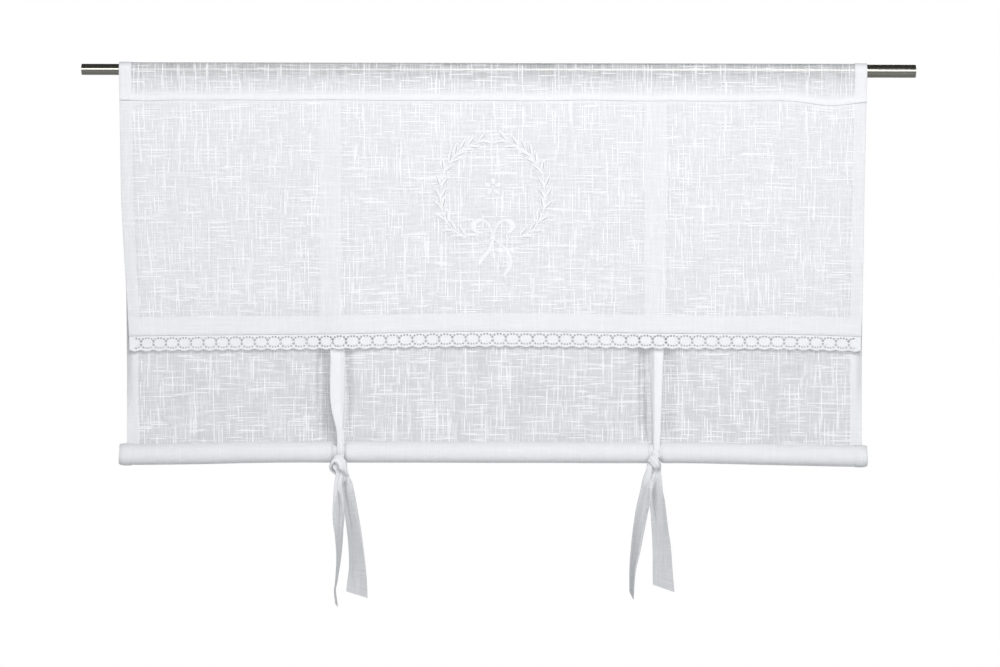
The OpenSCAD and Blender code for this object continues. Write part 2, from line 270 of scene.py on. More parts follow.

# %% [markdown]
# ## Sheer slub cloth
# The cloth is woven from uneven threads: thick places, called slubs, show as short white dashes both
# along and across the cloth, on a ground that lets light through. Each cloth piece below carries a
# flat UV map in metres, as if it lay on the cutting table, so the weave follows every fold.
# A slub is a row of the weave in which a stretched noise passes a limit. It makes the cloth denser,
# whiter and slightly raised there. The ground between is thin, so its alpha is well below one.
# Where layers lie close together, as in the roll, in the hems and over the ties, they scatter the light
# to each other and hardly anything shines through. Each sheet carries an attribute, stacked, that says
# how far this is so. Below zero it makes the cloth more see-through, so that the room's grey behind it
# darkens it. This is painted shade beside the straps and in the tails' folds, and the slubs fade there too.


# %% Rows of thread
def slub_rows(tree, along, across, pitch, length, limit):
    """Dashes of about the given length in rows of the given pitch, as a mask from 0 to 1."""
    rows = add_math(tree, "DIVIDE", across, pitch)
    row_seed = add_math(tree, "MULTIPLY", add_math(tree, "FLOOR", rows, 0.0), 17.31)
    spot = add_node(tree, "CombineXYZ", {"X": add_math(tree, "DIVIDE", along, length), "Y": row_seed})
    thickness = add_noise(tree, spot.outputs[0], 1.0, 1.0)
    dash = add_range(tree, thickness, limit, limit + 0.06)
    rounded = add_range(tree, add_math(tree, "PINGPONG", rows, 0.5), 0.02, 0.30)
    return add_math(tree, "MULTIPLY", dash, rounded)


def uneven_rows(tree, along, across, pitch, length):
    """Thread by thread lighter and darker, for the fine hatching of the ground."""
    rows = add_math(tree, "DIVIDE", across, pitch)
    row_seed = add_math(tree, "MULTIPLY", add_math(tree, "FLOOR", rows, 0.0), 7.77)
    spot = add_node(tree, "CombineXYZ", {"X": add_math(tree, "DIVIDE", along, length), "Y": row_seed})
    return add_noise(tree, spot.outputs[0], 1.0, 0.0)


print("rows of slubs and of uneven threads")


# %% Slub cloth
def slub_cloth(name, ground_alpha, slub_alpha, hatch_alpha, tint):
    finish, tree, shader = new_finish(name, Roughness=0.9, Specular_IOR_Level=0.15, Sheen_Weight=0.05)
    flat = add_node(tree, "UVMap", uv_map="flat_cloth").outputs[0]
    parts = add_node(tree, "SeparateXYZ", {"Vector": flat}).outputs
    shift = add_math(tree, "MULTIPLY", add_noise(tree, flat, 9.0, 1.0), 0.004)
    weft = add_math(tree, "ADD", parts["X"], shift)
    warp = add_math(tree, "ADD", parts["Y"], shift)
    lying = slub_rows(tree, weft, warp, 0.0018, 0.058, 0.605)
    standing = slub_rows(tree, warp, weft, 0.0018, 0.064, 0.595)
    fine_lying = slub_rows(tree, weft, warp, 0.0013, 0.038, 0.58)
    fine_standing = slub_rows(tree, warp, weft, 0.0013, 0.043, 0.57)
    bold = add_math(tree, "MAXIMUM", lying, standing)
    fine = add_math(tree, "MULTIPLY", add_math(tree, "MAXIMUM", fine_lying, fine_standing), 0.5)
    stacked = add_node(tree, "Attribute", attribute_name="stacked").outputs["Fac"]
    single = add_math(tree, "SUBTRACT", 1.0, stacked)
    slub_height = add_math(tree, "SUBTRACT", 1.0, add_math(tree, "ABSOLUTE", stacked, 0.0))
    slubs = add_math(tree, "MULTIPLY", add_math(tree, "MAXIMUM", bold, fine), slub_height)
    hatch = add_math(tree, "ADD", uneven_rows(tree, weft, warp, 0.0012, 0.05),
                     uneven_rows(tree, warp, weft, 0.0013, 0.06))
    uneven = add_math(tree, "ADD", hatch, add_noise(tree, flat, 17.0, 2.0))
    ground = add_range(tree, uneven, 1.1, 1.9, ground_alpha - hatch_alpha, ground_alpha + hatch_alpha)
    denser = add_math(tree, "MULTIPLY", slubs, slub_alpha)
    one_layer = add_math(tree, "ADD", ground, denser, use_clamp=True)
    gaps = add_math(tree, "MULTIPLY", add_math(tree, "SUBTRACT", 1.0, one_layer), single)
    weave = add_node(tree, "TexChecker", {"Vector": flat, "Scale": 1500.0}).outputs["Fac"]
    relief = add_math(tree, "ADD", slubs, add_math(tree, "MULTIPLY", weave, 0.25))
    connect(tree, shader, Base_Color=add_ramp(tree, slubs, tint, [v + 0.02 for v in tint]),
            Alpha=add_math(tree, "SUBTRACT", 1.0, gaps), Normal=add_bump(tree, relief, 0.2, 0.0003))
    return finish


sheer = slub_cloth("sheer_slub_cloth", 0.59, 0.46, 0.08, (0.915, 0.92, 0.94))
band_cloth = slub_cloth("tie_band_cloth", 0.46, 0.05, 0.03, (0.935, 0.94, 0.96))
print("slub cloth in two weights")

# %% [markdown]
# ## Lace cotton and thread
# Lace and embroidery are thick cotton with a soft shine. Lace has a crocheted, lumpy surface, which
# a cell pattern gives. The embroidery has a white thread, a bright one for outlines and a grey one
# whose grey is painted shade on the lower half of each leaf.


# %% Lace and thread finishes
def cotton(name, tint, lump_scale, bump_depth, sheen):
    finish, tree, shader = new_finish(name, Roughness=0.75, Specular_IOR_Level=0.2, Sheen_Weight=sheen)
    place = add_node(tree, "TexCoord").outputs["Object"]
    lumps = add_node(tree, "TexVoronoi", {"Vector": place, "Scale": lump_scale}).outputs["Distance"]
    # The colour is a little darker where the lumps dip: painted shade in the hollows between them
    connect(tree, shader, Base_Color=add_ramp(tree, lumps, tint, [v * 0.93 for v in tint]),
            Normal=add_bump(tree, lumps, 0.6, bump_depth, invert=True))
    return finish


lace_cotton = cotton("lace_cotton", (0.89, 0.90, 0.92), 900.0, 0.0003, 0.05)
stitch_thread = cotton("stitch_thread", (0.915, 0.92, 0.935), 1400.0, 0.0002, 0.1)
outline_thread = cotton("outline_thread", (0.975, 0.98, 0.985), 1400.0, 0.0002, 0.1)
painted_shade_thread = cotton("painted_shade_thread", (0.58, 0.59, 0.615), 1400.0, 0.0002, 0.05)
print("lace and thread finishes")

# %% [markdown]
# ## How the cloth hangs
# The layers hang close together, so they move together: one ripple is shared by every layer, and
# each layer keeps its own place in front of or behind the others. The long cloth is held in at its
# sides as it hangs, and the valance still more, so the edges aren't quite straight.
# The numbers come from the photograph, at 1.44 mm a pixel.

# %% Sizes from the CAD model
HALF_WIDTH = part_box("back_panel")[1][0]
ROLL_Z = -0.549
ROLL_Y = -0.01595
BAR_R = 0.0053
POCKET_R = 0.01045
SEAM_Z = -0.038
SEAM_END_Z = -0.044
FLAP_Y = -0.0026
LIP_Y = -0.0033
VALANCE_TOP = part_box("front_valance")[1][2]
VALANCE_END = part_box("front_valance")[0][2]
SIDE_HEM = 0.018
TURNED_HEM = 0.0345
HEM_START = HALF_WIDTH - SIDE_HEM
HEM_FOLD = 0.0004
FOLD_HALF = 0.0012
FOLD_STEPS = (-FOLD_HALF, -0.0004, 0.0004, FOLD_HALF)
TIE_X = (-0.234, 0.234)
STRAP_X = (-0.2195, 0.233)
print("cloth", round(2 * HALF_WIDTH, 3), "m wide, valance ends at", round(VALANCE_END, 3))


# %% Shared ripple and edges
def smooth(start, end, value):
    t = min(max((value - start) / (end - start), 0.0), 1.0)
    return t * t * (3.0 - 2.0 * t)


def from_table(table, value):
    """The value of a falling table of (place, amount) pairs, in between its entries."""
    for (z0, a0), (z1, a1) in zip(table, table[1:]):
        if value >= z1:
            t = min(max((value - z0) / (z1 - z0), 0.0), 1.0)
            return a0 + (a1 - a0) * t
    return table[-1][1]


def near_strap(x, spread):
    return sum(math.exp(-((x - place) / spread) ** 2) for place in STRAP_X)


def ripple(x, z):
    """How far the hanging layers stand off their plane; minus is towards the viewer."""
    hanging = smooth(-0.02, -0.40, z) * (1.0 - smooth(-0.50, -0.54, z))
    slow = noise.noise(Vector((x * 4.3, z * 1.6, 2.0)))
    quick = noise.noise(Vector((x * 14.0, z * 2.6, 7.0)))
    return hanging * (0.0026 * slow + 0.0010 * quick)


# How far the sides are drawn in at a height, on the left (-1) and on the right (1)
PANEL_PULL = {-1: [(-0.05, 0.0), (-0.187, 0.0025), (-0.26, 0.007), (-0.33, 0.0095), (-0.50, 0.0115)],
              1: [(-0.05, 0.0), (-0.187, 0.0028), (-0.33, 0.004), (-0.50, 0.0055)]}
VALANCE_PULL = {-1: [(-0.05, 0.0), (-0.187, 0.003), (-0.26, 0.0075), (-0.33, 0.0125), (-0.40, 0.0165)],
                1: [(-0.05, 0.0), (-0.187, 0.0032), (-0.33, 0.0058), (-0.40, 0.0085)]}


def pulled_in(x, z, table):
    side = -1 if x < 0 else 1
    share = min(abs(x) / HALF_WIDTH, 1.0) ** 3
    return x - side * share * from_table(table[side], z)


def seam_wave(x, z):
    """The sewn seam under the rod isn't quite level, and it sags towards both ends."""
    near = smooth(-0.012, -0.034, z) * (1.0 - smooth(-0.05, -0.09, z))
    sag = 0.0055 * math.exp(-((x - 0.485) / 0.04) ** 2) + 0.0025 * math.exp(-((x + 0.50) / 0.03) ** 2)
    return near * (0.0014 * noise.noise(Vector((x * 11.0, 0.0, 4.0))) - sag)


print("ripple at the valance's end", round(1000 * ripple(0.1, VALANCE_END), 2), "mm")


# %% [markdown]
# ## Making a sheet
# A sheet starts as a flat grid. Every vertex has a flat place on the cutting table, its column and
# its row, and a rule moves it to where that bit of cloth hangs. The flat place is kept as the UV map.
# The columns are closer together near the straps, where the cloth is gathered. At the sides the hem is
# turned to the back twice, so that the raw edge lies inside it, and it is three layers thick.

# %% Sheets
COARSE = 0.0075
GATHERED_X, GATHERED_HALF = 0.2265, 0.04


def sheet_piece(name, columns, rows, place, material, stacking):
    shape = bmesh.new()
    wide, long = len(columns), len(rows)
    bmesh.ops.create_grid(shape, x_segments=wide - 1, y_segments=long - 1, size=1.0)
    flat_map = shape.loops.layers.uv.new("flat_cloth")
    stacked = shape.verts.layers.float.new("stacked")
    spots = {}
    for vert in shape.verts:
        column = round((vert.co.x + 1.0) / 2.0 * (wide - 1))
        row = round((1.0 - vert.co.y) / 2.0 * (long - 1))
        spots[vert.index] = (columns[column], rows[row][0])
        vert.co = place(columns[column], rows[row])
        vert[stacked] = stacking(columns[column], rows[row])
    for face in shape.faces:
        face.smooth = True
        for loop in face.loops:
            loop[flat_map].uv = spots[loop.vert.index]
    return mesh_object(name, shape, material)


def cloth_columns(fine):
    """Flat distances from the middle, from the left hem's raw edge to the right one's."""
    inner = []
    x = 0.0
    while x < HEM_START - 0.002:
        inner.append(x)
        x += fine if abs(x - GATHERED_X) < GATHERED_HALF else COARSE
    edge = [HEM_START + step for step in (-0.0003, 0.0003, 0.006, 0.012)]
    for fold in (HALF_WIDTH, HALF_WIDTH + SIDE_HEM):
        edge += [fold + step for step in FOLD_STEPS]
        edge += [fold + SIDE_HEM * share for share in (0.35, 0.7)]
    right = inner + edge + [HALF_WIDTH + TURNED_HEM]
    return [-x for x in reversed(right)] + right[1:]


def fold_side(x):
    """Where a column lies: its distance from the middle and how far it's turned to the back."""
    over = abs(x) - HALF_WIDTH
    back = HEM_FOLD * (2.0 * smooth(-FOLD_HALF, FOLD_HALF, over)
                       - smooth(SIDE_HEM - FOLD_HALF, SIDE_HEM + FOLD_HALF, over))
    reach = HALF_WIDTH - abs(over) if over <= SIDE_HEM else HALF_WIDTH - 2.0 * SIDE_HEM + over
    return math.copysign(reach, x), back


def in_side_hem(x):
    return 1.0 if abs(x) > HEM_START else 0.0


print(len(cloth_columns(0.002)), "columns, 2 mm apart near the straps")

# %% [markdown]
# ## The long cloth
# The long cloth starts at the seam under the rod, goes up in front of the rod and over it, comes down
# behind it, hangs straight and is rolled up towards the viewer round the bar. Seen from the side it is
# one line, so the rows follow that line. Its start is turned in at the seam, which makes a lip there.
# The roll is pinched where the straps cross it, its two ends are rounded and sag a little, and beside
# the straps the hanging cloth is drawn into hollows and made more see-through there, which is painted shade.
# Over the rod it is made more see-through, so that the rod shows through; at the top edge this darkening is
# painted shade too.

# %% The long cloth's line
ROLL_OUTER = 0.01595
ROLL_INNER = 0.00555
TURN_PITCH = 0.00125
POCKET_STEPS, DROP_ROWS, ROLL_STEPS = 18, 72, 128


def tangent_angle(y, z, side):
    """The angle from the front at which a line from (y, z) touches the rod's pocket."""
    towards = math.degrees(math.atan2(z, -y))
    reach = math.degrees(math.acos(POCKET_R / math.hypot(y, z)))
    return towards + reach if side == "front" else 360.0 + towards - reach


def panel_rows():
    """(length along the cloth, kind, y, z, angle, radius) from the seam to the core of the roll."""
    front = tangent_angle(FLAP_Y, SEAM_Z, "front")
    rear = tangent_angle(-1e-9, SEAM_Z, "rear")
    turned_in = [(FLAP_Y + 0.00025, SEAM_Z + 0.014), (FLAP_Y + 0.00025, SEAM_Z + 0.006),
                 (FLAP_Y, SEAM_END_Z + 0.003), (LIP_Y + 0.0009, SEAM_END_Z),
                 (LIP_Y, SEAM_END_Z + 0.0008), (LIP_Y, SEAM_END_Z + 0.003), (FLAP_Y - 0.0003, SEAM_Z + 0.001)]
    line = [("hang", y, z, 0, 0) for y, z in turned_in]
    start_y = -POCKET_R * math.cos(math.radians(front))
    start_z = POCKET_R * math.sin(math.radians(front))
    for share in (0.25, 0.5, 0.75):
        y = FLAP_Y + (start_y - FLAP_Y) * share
        line.append(("hang", y, SEAM_Z + (start_z - SEAM_Z) * share, 0, 0))
    for step in range(POCKET_STEPS + 1):
        angle = math.radians(front + (rear - front) * step / POCKET_STEPS)
        line.append(("hang", -POCKET_R * math.cos(angle), POCKET_R * math.sin(angle), 0, 0))
    end_y, end_z = line[-1][1], line[-1][2]
    for share in (0.25, 0.5, 0.75, 1.0):
        line.append(("hang", end_y * (1 - share), end_z + (SEAM_Z - end_z) * share, 0, 0))
    for step in range(1, DROP_ROWS):
        line.append(("hang", 0.0, SEAM_Z + (ROLL_Z - SEAM_Z) * step / DROP_ROWS, 0, 0))
    turns = (ROLL_OUTER - ROLL_INNER) / TURN_PITCH
    for step in range(ROLL_STEPS + 1):
        share = step / ROLL_STEPS
        angle = share * turns * 2.0 * math.pi
        radius = ROLL_OUTER + (ROLL_INNER - ROLL_OUTER) * share
        y, z = ROLL_Y + radius * math.cos(angle), ROLL_Z - radius * math.sin(angle)
        line.append(("roll", y, z, angle, radius))
    rows, length = [], 0.0
    for number, (kind, y, z, angle, radius) in enumerate(line):
        if number:
            length += math.hypot(y - line[number - 1][1], z - line[number - 1][2])
        rows.append((length, kind, y, z, angle, radius))
    return rows


long_rows = panel_rows()
print(len(long_rows), "rows,", round(long_rows[-1][0], 3), "m of cloth")


# %% The roll's form
LEFT_GRIP, RIGHT_GRIP = 0.6, 0.35
LEFT_END_DRAWN_IN = 0.0035


def roll_droop(x):
    """How far the roll sags, most at its two ends."""
    return 0.0042 * smooth(0.26, HALF_WIDTH, abs(x)) + 0.0006 * noise.noise(Vector((x * 9.0, 1.0, 1.0)))


def squeezed(x, radius):
    """A radius of the roll, smaller in the straps' grip and at the rounded ends."""
    to_strap = min(abs(x - place) for place in STRAP_X)
    held = LEFT_GRIP if x < 0 else RIGHT_GRIP
    grip = 1.0 - held * (1.0 - smooth(0.0060, 0.0118, to_strap))
    rounded = 1.0 - 0.14 * smooth(HALF_WIDTH - 0.006, HALF_WIDTH, abs(x)) ** 2
    return BAR_R + (radius - BAR_R) * grip * rounded


print("roll of", round(1000 * squeezed(0.0, ROLL_OUTER), 1), "mm radius, in the left strap",
      round(1000 * squeezed(STRAP_X[0], ROLL_OUTER), 1))


# %% Hollows beside the straps
# Beside the straps: (the deep side's x, the shallow side's x, depth, painted shade: how much more see-through
# the cloth is made)
HOLLOWS = ((-0.2505, -0.2310, 0.014, 0.5), (-0.2135, -0.2020, 0.006, 0.25),
           (0.2150, 0.2285, 0.011, 0.5), (0.2450, 0.2630, 0.008, 0.25))


def below_lace(z):
    return smooth(-0.33, -0.395, z) * (1.0 - smooth(-0.51, ROLL_Z, z))


def hollow(x, z):
    """How far the long cloth is drawn back beside the straps, from a deep side to a shallow one."""
    return below_lace(z) * sum(depth * smooth(deep - 0.005, deep, x) * (1.0 - smooth(deep, shallow, x))
                               for deep, shallow, depth, painted_shade in HOLLOWS)


# Painted shade: beside the straps the cloth is made more see-through, so the room's grey darkens it
def painted_shade_beside_straps(x, z):
    return below_lace(z) * sum(painted_shade * smooth(deep - 0.003, deep + 0.005, x)
                               * (1.0 - smooth(shallow, shallow + 0.004, x))
                               for deep, shallow, depth, painted_shade in HOLLOWS)


print("deepest hollow", round(1000 * max(hollow(place[0], -0.45) for place in HOLLOWS), 1), "mm")


# %% The long cloth's place
def outwards(y, z):
    """The way the back of the long cloth faces: away from the rod in front, on top and behind."""
    if z > -0.008:
        return Vector((0.0, y, z)).normalized()
    return Vector((0.0, -1.0 if y < -0.001 else 1.0, 0.0))


def roll_place(flat_x, back, angle, radius):
    turn = angle / (2.0 * math.pi)
    lump = 0.0005 * noise.noise(Vector((flat_x * 9.0, angle * 0.8, 3.0))) * max(0.0, 1.0 - turn)
    reach = squeezed(flat_x, radius) + back + lump
    near_end = smooth(0.45, HALF_WIDTH, abs(flat_x))
    inwards = near_end * (0.0006 * turn + 0.0012 * noise.noise(Vector((angle * 0.7, 2.0, 5.0))))
    inwards += near_end * (LEFT_END_DRAWN_IN if flat_x < 0 else 0.0)
    loose = smooth(0.0, 0.9, angle)
    x = pulled_in(flat_x, ROLL_Z, PANEL_PULL) * (1.0 - loose) + flat_x * loose
    return Vector((x - math.copysign(inwards, flat_x), ROLL_Y + reach * math.cos(angle),
                   ROLL_Z - roll_droop(flat_x) - reach * math.sin(angle)))


def panel_place(x, row):
    length, kind, y, z, angle, radius = row
    flat_x, back = fold_side(x)
    if kind == "roll":
        return roll_place(flat_x, back, angle, radius)
    spot = Vector((pulled_in(flat_x, z, PANEL_PULL), y, z + seam_wave(flat_x, z)))
    spot += outwards(y, z) * back
    if y > -0.001:
        follow = smooth(-0.42, ROLL_Z, z)
        at_edge = smooth(HALF_WIDTH - 0.013, HALF_WIDTH, abs(flat_x)) ** 2
        curl = 0.007 * at_edge * smooth(-0.05, -0.25, z) * (1.0 - follow)
        to_roll = follow * (ROLL_Y + squeezed(flat_x, ROLL_OUTER))
        spot.y += ripple(flat_x, z) + to_roll + hollow(flat_x, z) + curl
        spot.z -= follow * roll_droop(flat_x)
    return spot


print("left edge at the rod", round(panel_place(-HALF_WIDTH, long_rows[10]).x, 3),
      "and above the roll", round(panel_place(-HALF_WIDTH, long_rows[100]).x, 3))


# %% The long cloth
# The lip is whiter from its turned-in layers, and whiter still from painted light against the shadow under it
ROLL_STACKED, LIP_LAYERS_AND_PAINTED_LIGHT, SIDE_STACKED = 0.70, 0.80, 0.74


def panel_stacking(x, row):
    length, kind, y, z, angle, radius = row
    if kind == "roll":
        return ROLL_STACKED * smooth(0.0, 1.0, angle)
    if y < -0.001 and z < SEAM_Z + 0.003:
        return LIP_LAYERS_AND_PAINTED_LIGHT
    # Over the rod the cloth is made more see-through so the rod shows through; at the top edge this is also
    # painted shade
    over_rod = 0.12 * smooth(-0.034, -0.020, z) + 0.60 * smooth(0.0070, 0.0096, z)
    return SIDE_STACKED * in_side_hem(x) - painted_shade_beside_straps(x, z) - over_rod * (1.0 - in_side_hem(x))


panel = sheet_piece("panel_cloth", cloth_columns(0.0019), long_rows, panel_place, sheer, panel_stacking)

# %% [markdown]
# ## The valance
# The valance hangs from the same seam. Its sides and its lower edge are turned to the back twice, so it
# is whiter there. The straps behind it hold it off the long cloth, and between the straps its lower
# edge is drawn up in a shallow arch.

# %% The valance's form
VALANCE_HEM = 0.0265
HEM_BACK = 0.0017
VALANCE_ROWS = 52
# How much the lower edge is drawn up at an x; minus is down
ARCH = [(0.54, -0.0015), (0.50, -0.0004), (0.46, 0.0008), (0.40, 0.0017), (0.25, 0.0023),
        (0.2, 0.0030), (0.1, 0.0043), (0.0, 0.0048), (-0.1, 0.0036), (-0.2, 0.0010),
        (-0.25, 0.0003), (-0.40, -0.0014), (-0.54, -0.0032)]


def valance_front(x, z):
    """The y of the valance's front cloth."""
    lower = smooth(-0.05, -0.39, z)
    ridge = near_strap(x, 0.03)
    billow = 0.5 + 0.5 * noise.noise(Vector((x * 5.0, z * 1.5, 11.0)))
    return -0.0021 + ripple(x, z) - lower * (0.0065 + 0.0042 * ridge + 0.0018 * billow)


def valance_rows():
    """(length along the cloth, height, how far it's turned to the back) from the seam to the raw edge."""
    hem_top = VALANCE_END + VALANCE_HEM
    plain = hem_top + 0.004 - VALANCE_TOP
    heights = [VALANCE_TOP + plain * step / VALANCE_ROWS for step in range(VALANCE_ROWS + 1)]
    heights += [hem_top + 0.0003, hem_top - 0.0003]
    heights += [VALANCE_END + VALANCE_HEM * share for share in (0.75, 0.5, 0.25)]
    rows = [(VALANCE_TOP - z, z, 0.0) for z in heights + [VALANCE_END + FOLD_HALF]]
    to_fold = VALANCE_TOP - VALANCE_END
    for turned in FOLD_STEPS[1:]:
        rows.append((to_fold + turned, VALANCE_END + abs(turned), smooth(-FOLD_HALF, FOLD_HALF, turned)))
    for share in (0.25, 0.5, 0.75, 0.97):
        rows.append((to_fold + VALANCE_HEM * share, VALANCE_END + VALANCE_HEM * share, 1.0))
    for share in (1.03, 1.25, 1.5, 1.75, 1.93):
        rows.append((to_fold + VALANCE_HEM * share, VALANCE_END + VALANCE_HEM * (2.0 - share), 0.6))
    return rows


def valance_place(x, row):
    length, z, turned = row
    flat_x, back = fold_side(x)
    depth = smooth(-0.06, VALANCE_END, z)
    back_side = back * (1.0 - 2.0 * turned) + HEM_BACK * turned
    return Vector((pulled_in(flat_x, z, VALANCE_PULL), valance_front(flat_x, z) + back_side,
                   z + depth * from_table(ARCH, flat_x) + seam_wave(flat_x, z)))


print("the lower edge hangs", round(-1000 * valance_front(0.0, VALANCE_END), 1), "mm in front of the axis")


# %% The valance
LOWER_HEM_STACKED, VALANCE_SIDE_STACKED, OVER_TIE_STACKED, UNDER_LIP_PAINTED_LIGHT = 0.68, 0.56, 0.45, 0.6


def valance_stacking(x, row):
    length, z, turned = row
    if z < VALANCE_END + VALANCE_HEM or turned:
        return LOWER_HEM_STACKED
    if in_side_hem(x):
        return VALANCE_SIDE_STACKED
    to_tie = min(abs(x - place) for place in TIE_X)
    over_tie = OVER_TIE_STACKED * (1.0 - smooth(0.0145, 0.0165, to_tie))
    # Painted light: just under the lip the valance is made denser and so whiter, against the lip's shadow
    return max(over_tie, UNDER_LIP_PAINTED_LIGHT if z > SEAM_END_Z - 0.001 else 0.0)


front_rows = valance_rows()
valance = sheet_piece("valance_cloth", cloth_columns(0.002), front_rows, valance_place, sheer, valance_stacking)


# %% [markdown]
# ## Lace
# The lace is a crocheted band of oval medallions. Rings of small holes outline the ovals, two larger
# holes part one oval from the next, and the lower edge is scalloped. One motif is an outline with
# holes, filled and given a thickness. It is repeated along the edge, joined, and then bent to follow
# the valance's lower hem. Raised cords run round the ovals and along the scallops.

# %% One motif of lace
LACE_LAP = 0.005
LACE_DROP = 0.022
MOTIFS = 56
MOTIF = 2.0 * HALF_WIDTH / MOTIFS
SCALLOP = 0.0024
EYELET_RISE = (0.34, 0.58)
EYELET_R = 0.0021
# Small holes round an oval: (share of the motif along, share of the drop, radius)
OVAL_HOLES = ((0.155, 0.20, 0.0015), (0.385, 0.15, 0.0015), (0.185, 0.75, 0.0016), (0.40, 0.79, 0.0013))
RIM_STEPS = 8


def ring(shape, x, y, radius, sides):
    made = bmesh.ops.create_circle(shape, segments=sides, radius=radius)
    bmesh.ops.translate(shape, verts=made["verts"], vec=(x, y, 0.0))


def scallop_edge(x):
    """The lower edge's depth below the hem, for x from a motif's middle, where two lobes meet."""
    return LACE_DROP - SCALLOP * math.cos(math.pi * x / MOTIF) ** 2


def lace_motif(open_work):
    """A motif about the place where two ovals meet, flat: x along the edge, y down from the hem."""
    shape = bmesh.new()
    half = MOTIF / 2.0
    places = [half - MOTIF * step / RIM_STEPS for step in range(RIM_STEPS + 1)]
    rim = [(-x, -LACE_LAP) for x in places] + [(x, scallop_edge(x)) for x in places]
    corners = [shape.verts.new((x, y, 0.0)) for x, y in rim]
    for first, second in zip(corners, corners[1:] + corners[:1]):
        shape.edges.new((first, second))
    if open_work:
        for rise in EYELET_RISE:
            ring(shape, 0.0, LACE_DROP * rise, EYELET_R, 8)
        for side in (-1, 1):
            for along, depth, radius in OVAL_HOLES:
                ring(shape, side * along * MOTIF, LACE_DROP * depth, radius, 7)
    bmesh.ops.triangle_fill(shape, use_beauty=True, edges=shape.edges)
    return shape


print("a motif is", round(1000 * MOTIF, 2), "mm long")


# %% Copies of a motif
def as_mesh(shape):
    mesh = bpy.data.meshes.new("part_of_a_piece")
    shape.to_mesh(mesh)
    shape.free()
    return mesh


def add_copy(whole, mesh, shift):
    """Adds a copy of a small mesh to a bmesh, moved by shift."""
    before = len(whole.verts)
    whole.from_mesh(mesh)
    whole.verts.ensure_lookup_table()
    bmesh.ops.translate(whole, verts=whole.verts[before:], vec=shift)


open_motif = as_mesh(lace_motif(True))
plain_motif = as_mesh(lace_motif(False))
print("a motif has", len(open_motif.polygons), "faces")


# %% Cords and the hang of the lace
LACE_T = 0.0005
LACE_BEHIND = 0.0023


def cord_ring(half_width, half_height, cord, around, sides):
    """A ring of round cord, as an oval of the given half sizes."""
    shape = bmesh.new()
    made = bmesh.ops.create_circle(shape, segments=sides, radius=cord)
    bmesh.ops.rotate(shape, verts=made["verts"], matrix=Matrix.Rotation(math.radians(90.0), 3, "X"))
    bmesh.ops.translate(shape, verts=made["verts"], vec=(half_width, 0.0, 0.0))
    bmesh.ops.spin(shape, geom=shape.verts[:] + shape.edges[:], axis=(0.0, 0.0, 1.0), cent=(0.0, 0.0, 0.0),
                   angle=2.0 * math.pi, steps=around, use_merge=True)
    bmesh.ops.scale(shape, verts=shape.verts, vec=(1.0, half_height / half_width, 1.0))
    bmesh.ops.recalc_face_normals(shape, faces=shape.faces)
    return as_mesh(shape)


def bend_lace(point):
    """From the flat band (x along it, y down from the hem, z to the back) to where it hangs."""
    hem = valance_place(point.x, (0.0, VALANCE_END, 0.0))
    sway = 0.0008 * noise.noise(Vector((point.x * 22.0, point.y * 30.0, 6.0)))
    loose = smooth(0.0, LACE_DROP, point.y)
    return Vector((hem.x, hem.y + LACE_BEHIND + point.z + sway * loose, hem.z - point.y))


print("the lace ends at", round(bend_lace(Vector((0.0, LACE_DROP, 0.0))).z, 3))


# %% The lace band
lace_ground = bmesh.new()
for number in range(1, MOTIFS):
    add_copy(lace_ground, open_motif, (-HALF_WIDTH + number * MOTIF, 0.0, 0.0))
for side in (-1, 1):
    add_copy(lace_ground, plain_motif, (side * HALF_WIDTH, 0.0, 0.0))
for side in (-1, 1):
    all_of_it = lace_ground.verts[:] + lace_ground.edges[:] + lace_ground.faces[:]
    bmesh.ops.bisect_plane(lace_ground, geom=all_of_it, plane_co=(side * (HALF_WIDTH - 0.001), 0.0, 0.0),
                           plane_no=(side, 0.0, 0.0), clear_outer=True)
bmesh.ops.remove_doubles(lace_ground, verts=lace_ground.verts, dist=0.00002)
bmesh.ops.recalc_face_normals(lace_ground, faces=lace_ground.faces)
bmesh.ops.solidify(lace_ground, geom=lace_ground.faces[:], thickness=LACE_T)
lace_cords = bmesh.new()
medallion = cord_ring(0.36 * MOTIF, 0.21 * LACE_DROP, 0.0006, 18, 5)
hole_rim = cord_ring(EYELET_R + 0.0004, EYELET_R + 0.0004, 0.0004, 8, 4)
scallop_cord = cord_ring(0.44 * MOTIF, 0.065 * LACE_DROP, 0.0005, 22, 4)
for number in range(MOTIFS):
    middle = -HALF_WIDTH + (number + 0.5) * MOTIF
    add_copy(lace_cords, medallion, (middle, 0.48 * LACE_DROP, -0.0003))
    add_copy(lace_cords, scallop_cord, (middle, 0.90 * LACE_DROP, -0.0002))
    if number:
        for rise in EYELET_RISE:
            add_copy(lace_cords, hole_rim, (middle - MOTIF / 2.0, LACE_DROP * rise, -0.0003))
lace_shape = bmesh.new()
for part in (lace_ground, lace_cords):
    lace_shape.from_mesh(as_mesh(part))
for vert in lace_shape.verts:
    vert.co = bend_lace(vert.co)
lace = mesh_object("lace_edge", lace_shape, lace_cotton)
print("lace of", MOTIFS, "motifs,", len(lace.data.polygons), "faces")


# %% [markdown]
# ## Embroidery
# A laurel wreath with a bow is stitched on the valance. The leaves are outlined in stem stitch, so each
# is a thin raised white line round two halves, a white one and below it a grey one, whose grey is painted
# shade. The bow is satin stitch, which fills its bands with a smooth crown. A curve with a round bevel makes
# the lines, and a small grid along a path makes the bands and the halves. Every point is set on the valance's
# own surface.

